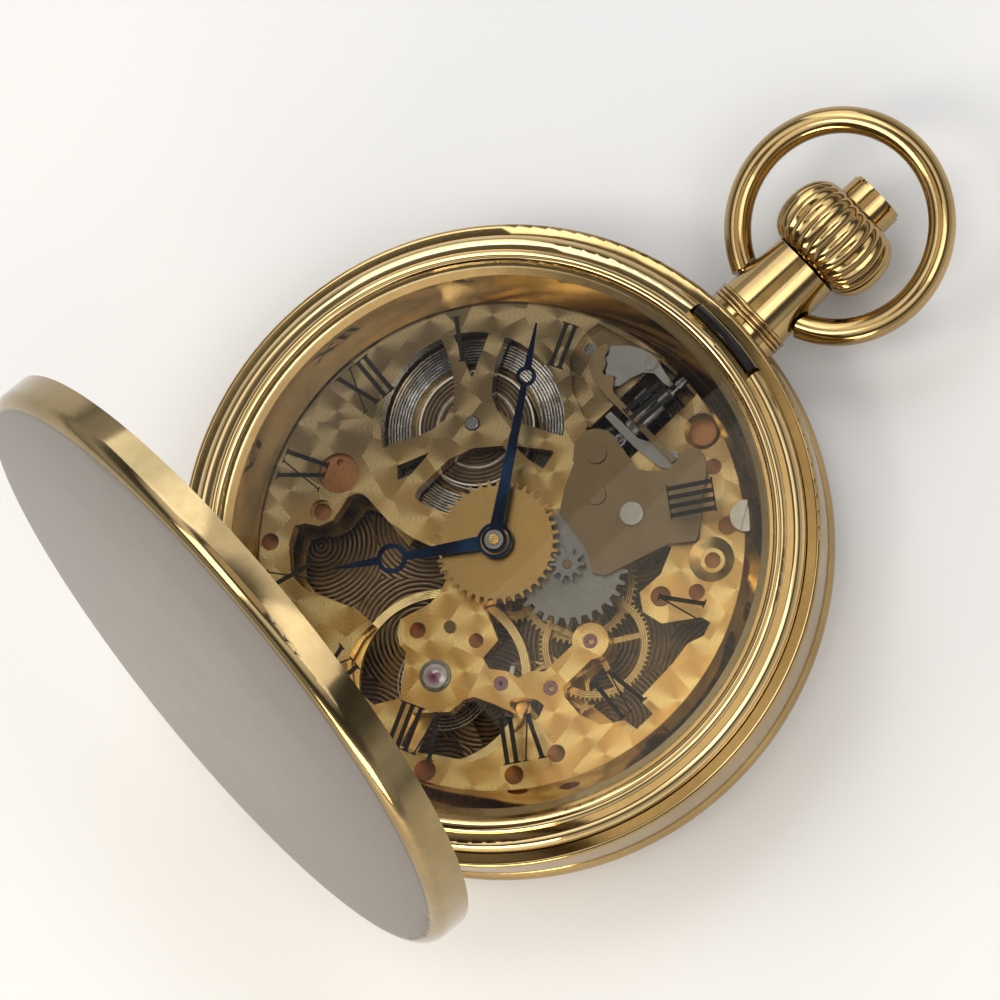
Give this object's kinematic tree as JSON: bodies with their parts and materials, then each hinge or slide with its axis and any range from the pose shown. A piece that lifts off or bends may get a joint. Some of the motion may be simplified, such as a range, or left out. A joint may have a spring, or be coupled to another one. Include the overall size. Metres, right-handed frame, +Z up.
{
  "type": "pocket watch",
  "caption": "Pocket watch with a skeletonised movement under a hinged front lid, with a ribbed winding crown, push button and swivelling bow.",
  "frame": {"origin": "middle of the flat outer face of the back, on which the watch lies", "axes": "+X toward the crown (III), +Y toward XII, +Z up out of the dial"},
  "size_m": [0.0688, 0.048, 0.0566],
  "materials": {
    "case_gold": "polished gold plate",
    "plate_gold": "gold plate with sunk circular graining",
    "wheel_brass": "satin brass",
    "rim_gold": "satin gold",
    "bronze": "straight-grained bronze",
    "back_bronze": "circular engine turning",
    "steel": "fine-ground steel",
    "polished_steel": "black-polished steel",
    "dark_steel": "dark polished steel",
    "spring_steel": "polished strip",
    "blued_steel": "heat-blued, polished",
    "ruby": "polished synthetic ruby",
    "crystal": "clear, polished",
    "ink": "black enamel"
  },
  "bodies": {
    "case": {"back_cover": "case_gold", "inner_back": "back_bronze", "case_middle": "case_gold", "bezel": "case_gold", "crystal": "crystal", "hinge_pin": "case_gold", "pendant": "case_gold", "case_screws": "steel", "main_plate": "plate_gold", "barrel_bridge": "plate_gold", "train_bridge": "plate_gold", "bridge_screws": "steel", "balance_cock": "back_bronze", "pallet_bridge": "plate_gold", "jewels": "ruby", "shock_setting": "polished_steel", "shock_jewel": "ruby", "plate_plugs": "bronze", "numerals": "ink", "cover_plate": "bronze", "cover_screw": "polished_steel", "setting_lever_screw": "polished_steel", "lever_spring": "bronze", "plate_studs": "bronze", "crown_wheel_screw": "polished_steel", "hairspring": "spring_steel"},
    "lid_body": {"lid": "case_gold"},
    "bow_body": {"bow": "case_gold"},
    "catch_body": {"catch": "dark_steel"},
    "winder": {"winding_pinion": "dark_steel"},
    "stem_body": {"stem": "steel", "crown": "case_gold"},
    "button_body": {"button": "case_gold"},
    "clutch_body": {"clutch": "dark_steel"},
    "lever_body": {"setting_lever": "steel"},
    "yoke_body": {"yoke": "steel"},
    "setting_body": {"setting_wheel": "steel"},
    "intermediate_body": {"intermediate_wheel": "steel"},
    "crown_wheel_body": {"crown_wheel": "steel"},
    "ratchet_body": {"ratchet_wheel": "steel", "barrel_arbor": "steel"},
    "click_body": {"click": "steel"},
    "barrel_body": {"barrel": "wheel_brass", "barrel_cover": "bronze", "mainspring": "spring_steel"},
    "centre_body": {"centre_wheel": "wheel_brass", "cannon_pinion": "steel", "minute_hand": "blued_steel"},
    "minute_body": {"minute_wheel": "steel"},
    "hour_body": {"hour_wheel": "wheel_brass", "hour_hand": "blued_steel"},
    "third_body": {"third_wheel": "wheel_brass"},
    "fourth_body": {"fourth_wheel": "wheel_brass"},
    "escape_body": {"escape_wheel": "steel"},
    "pallet_body": {"pallet_fork": "steel", "pallet_stones": "ruby"},
    "balance_body": {"balance_wheel": "rim_gold", "balance_staff": "steel"}
  },
  "joints": [
    {"name": "lid_hinge", "type": "hinge", "parent": "case", "child": "lid_body", "pos_m": [-0.02475, 0, 0.00965], "axis": [0, -1, 0], "range_deg": [-74, 16]},
    {"name": "bow_swivel", "type": "hinge", "parent": "case", "child": "bow_body", "pos_m": [0.0268, 0, 0.0056], "axis": [0, -1, 0], "range_deg": [-80, 70]},
    {"name": "crown_turn", "type": "hinge", "parent": "case", "child": "winder", "pos_m": [0.014, 0, 0.0056], "axis": [1, 0, 0], "continuous": true},
    {"name": "crown_pull", "type": "slide", "parent": "winder", "child": "stem_body", "axis": [1, 0, 0], "range_m": [0, 0.0008]},
    {"name": "button_push", "type": "slide", "parent": "stem_body", "child": "button_body", "axis": [-1, 0, 0], "range_m": [0, 0.0008], "stiffness_N_per_m": 400},
    {"name": "clutch_slide", "type": "slide", "parent": "winder", "child": "clutch_body", "axis": [-1, 0, 0], "range_m": [0, 0.0008]},
    {"name": "lever_swing", "type": "hinge", "parent": "case", "child": "lever_body", "pos_m": [0.017, 0.0021, 0.0074], "axis": [0, 0, 1], "range_deg": [0, 24]},
    {"name": "yoke_swing", "type": "hinge", "parent": "case", "child": "yoke_body", "pos_m": [0.0133, -0.0042, 0.0074], "axis": [0, 0, 1], "range_deg": [0, 12]},
    {"name": "catch_slide", "type": "slide", "parent": "case", "child": "catch_body", "axis": [-1, 0, 0], "range_m": [0, 0.0003]},
    {"name": "crown_wheel_spin", "type": "hinge", "parent": "case", "child": "crown_wheel_body", "pos_m": [0.0118, 0.0023, 0.0037], "axis": [0, 0, 1], "continuous": true},
    {"name": "ratchet_spin", "type": "hinge", "parent": "case", "child": "ratchet_body", "pos_m": [0.0046, 0.0081, 0.0037], "axis": [0, 0, 1], "continuous": true},
    {"name": "click_swing", "type": "hinge", "parent": "case", "child": "click_body", "pos_m": [-0.0022, 0.0124, 0.0037], "axis": [0, 0, 1], "range_deg": [0, 10]},
    {"name": "time_turn", "type": "hinge", "parent": "case", "child": "centre_body", "pos_m": [0, 0, 0.0079], "axis": [0, 0, -1], "continuous": true},
    {"name": "barrel_spin", "type": "hinge", "parent": "case", "child": "barrel_body", "pos_m": [0.0046, 0.0081, 0.0054], "axis": [0, 0, -1], "continuous": true},
    {"name": "third_spin", "type": "hinge", "parent": "case", "child": "third_body", "pos_m": [0.0021, -0.0055, 0.0054], "axis": [0, 0, -1], "continuous": true},
    {"name": "fourth_spin", "type": "hinge", "parent": "case", "child": "fourth_body", "pos_m": [0, -0.0099, 0.0054], "axis": [0, 0, -1], "continuous": true},
    {"name": "escape_spin", "type": "hinge", "parent": "case", "child": "escape_body", "pos_m": [-0.0044, -0.0104, 0.0054], "axis": [0, 0, -1], "continuous": true},
    {"name": "minute_work_spin", "type": "hinge", "parent": "case", "child": "minute_body", "pos_m": [0.0026, -0.00485, 0.0082], "axis": [0, 0, -1], "continuous": true},
    {"name": "hour_spin", "type": "hinge", "parent": "case", "child": "hour_body", "pos_m": [0, 0, 0.0089], "axis": [0, 0, -1], "continuous": true},
    {"name": "intermediate_spin", "type": "hinge", "parent": "case", "child": "intermediate_body", "pos_m": [0.00756, -0.00247, 0.0082], "axis": [0, 0, -1], "continuous": true},
    {"name": "setting_spin", "type": "hinge", "parent": "case", "child": "setting_body", "pos_m": [0.00964, -0.00028, 0.0082], "axis": [0, 0, -1], "continuous": true},
    {"name": "pallet_rock", "type": "hinge", "parent": "case", "child": "pallet_body", "pos_m": [-0.0068, -0.0076, 0.0054], "axis": [0, 0, 1], "range_deg": [-3, 3]},
    {"name": "balance_swing", "type": "hinge", "parent": "case", "child": "balance_body", "pos_m": [-0.0099, -0.0038, 0.0056], "axis": [0, 0, 1], "range_deg": [-220, 220], "stiffness_Nm_per_rad": 0.000006}
  ],
  "couplings": [
    {"joint": "clutch_slide", "follows": "crown_pull", "ratio": 1},
    {"joint": "lever_swing", "follows": "crown_pull", "rad_per_m": 488},
    {"joint": "yoke_swing", "follows": "crown_pull", "rad_per_m": 238},
    {"joint": "catch_slide", "follows": "button_push", "ratio": 0.375},
    {"joint": "crown_wheel_spin", "follows": "crown_turn", "ratio": 0.57143},
    {"joint": "ratchet_spin", "follows": "crown_turn", "ratio": -0.34783},
    {"joint": "barrel_spin", "follows": "time_turn", "ratio": -0.15385},
    {"joint": "third_spin", "follows": "time_turn", "ratio": -7},
    {"joint": "fourth_spin", "follows": "time_turn", "ratio": 60},
    {"joint": "escape_spin", "follows": "time_turn", "ratio": -600},
    {"joint": "minute_work_spin", "follows": "time_turn", "ratio": -0.33333},
    {"joint": "hour_spin", "follows": "time_turn", "ratio": 0.083333},
    {"joint": "intermediate_spin", "follows": "time_turn", "ratio": 1},
    {"joint": "setting_spin", "follows": "time_turn", "ratio": -0.83333}
  ]
}
